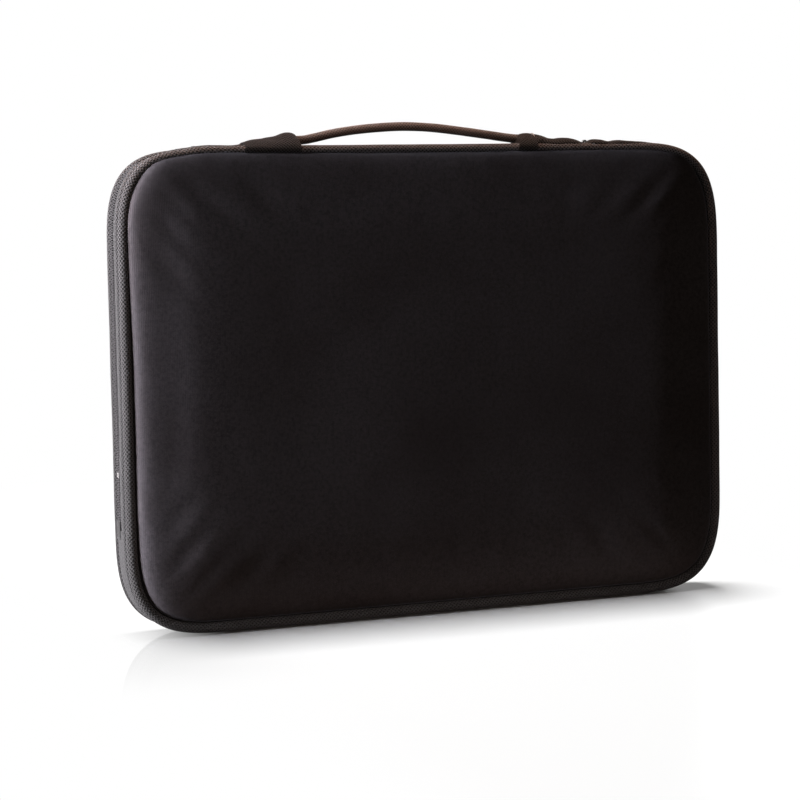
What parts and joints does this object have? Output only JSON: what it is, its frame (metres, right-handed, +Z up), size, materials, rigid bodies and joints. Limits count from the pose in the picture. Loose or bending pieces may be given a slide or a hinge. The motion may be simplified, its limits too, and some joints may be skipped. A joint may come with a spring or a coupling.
{
  "type": "laptop sleeve",
  "caption": "Slim padded laptop sleeve with swollen soft faces, piped mesh edge, a zip round the top and upper sides, and a slim cord carry handle on the top edge.",
  "frame": {"origin": "middle of the bottom edge, halfway through the depth, at the lowest point of the bottom pipings", "axes": "+X along the width, +Y from the front face to the back face, +Z up towards the handle"},
  "size_m": [0.366, 0.035, 0.2776],
  "materials": {
    "face_jersey": "matte fine knit over foam",
    "edge_mesh": "matte diamond air mesh",
    "handle_mesh": "matte diamond air mesh",
    "foam": "closed cell foam",
    "lining_fabric": "brushed plush",
    "zip_tape": "woven tape",
    "zip_coil": "nylon coil",
    "inner_cord": "twisted cord",
    "black_metal": "satin black"
  },
  "bodies": {
    "body": {"back_face_fabric": "face_jersey", "back_foam_pad": "foam", "back_lining": "lining_fabric", "back_piping": "edge_mesh", "back_piping_cord": "inner_cord", "back_seam_binding": "lining_fabric", "gusset_fabric": "edge_mesh", "gusset_foam": "foam", "gusset_lining": "lining_fabric", "zipper_tape_back": "zip_tape", "zipper_teeth_back": "zip_coil", "zipper_end_stops": "black_metal", "zipper_end_tabs": "handle_mesh"},
    "front_cover": {"front_face_fabric": "face_jersey", "front_foam_pad": "foam", "front_lining": "lining_fabric", "front_piping": "edge_mesh", "front_piping_cord": "inner_cord", "front_seam_binding": "lining_fabric", "zip_gusset_strip": "edge_mesh", "zip_gusset_lining": "lining_fabric", "zipper_tape_front": "zip_tape", "zipper_teeth_front": "zip_coil", "handle_keeper_left": "handle_mesh", "handle_keeper_right": "handle_mesh", "handle_strap_left": "handle_mesh", "handle_strap_right": "handle_mesh", "handle_anchor_left": "handle_mesh", "handle_anchor_right": "handle_mesh"},
    "slider_left": {"zipper_slider_left": "black_metal"},
    "slider_right": {"zipper_slider_right": "black_metal"},
    "pull_left": {"pull_tab_left": "black_metal"},
    "pull_right": {"pull_tab_right": "black_metal"},
    "handle_base": {"handle_end_left": "handle_mesh", "handle_end_right": "handle_mesh"},
    "handle_leg_left": {"handle_leg_left": "handle_mesh"},
    "handle_leg_right": {"handle_leg_right": "handle_mesh"},
    "handle_grip": {"handle_grip_cover": "handle_mesh", "handle_grip_core": "inner_cord"}
  },
  "joints": [
    {"name": "mouth_open", "type": "hinge", "parent": "body", "child": "front_cover", "pos_m": [0, -0.0106, 0.0029], "axis": [1, 0, 0], "range_deg": [0, 6], "stiffness_Nm_per_rad": 2},
    {"name": "zip_left", "type": "slide", "parent": "body", "child": "slider_left", "axis": [1, 0, 0], "range_m": [-0.215, 0]},
    {"name": "zip_right", "type": "slide", "parent": "body", "child": "slider_right", "axis": [1, 0, 0], "range_m": [0, 0.028]},
    {"name": "pull_left_tilt", "type": "hinge", "parent": "slider_left", "child": "pull_left", "pos_m": [0.086, 0.0042, 0.26565], "axis": [0, 1, 0], "range_deg": [0, 110]},
    {"name": "pull_right_tilt", "type": "hinge", "parent": "slider_right", "child": "pull_right", "pos_m": [0.104, 0.0042, 0.26565], "axis": [0, -1, 0], "range_deg": [0, 110]},
    {"name": "handle_swing", "type": "hinge", "parent": "front_cover", "child": "handle_base", "pos_m": [0, -0.0035, 0.268], "axis": [1, 0, 0], "range_deg": [-65, 65]},
    {"name": "handle_lift", "type": "slide", "parent": "handle_base", "child": "handle_grip", "axis": [0, 0, 1], "range_m": [-0.004, 0.02]},
    {"name": "leg_left_tilt", "type": "hinge", "parent": "handle_base", "child": "handle_leg_left", "pos_m": [-0.0685, -0.0035, 0.2684], "axis": [0, -1, 0], "range_deg": [-9, 38]},
    {"name": "leg_right_tilt", "type": "hinge", "parent": "handle_base", "child": "handle_leg_right", "pos_m": [0.0495, -0.0035, 0.2684], "axis": [0, 1, 0], "range_deg": [-9, 38]}
  ],
  "couplings": [
    {"joint": "zip_left", "follows": "mouth_open", "m_per_rad": -2.0526},
    {"joint": "zip_right", "follows": "mouth_open", "m_per_rad": 0.2669},
    {"joint": "leg_left_tilt", "follows": "handle_lift", "rad_per_m": 31.416},
    {"joint": "leg_right_tilt", "follows": "handle_lift", "rad_per_m": 31.416}
  ]
}
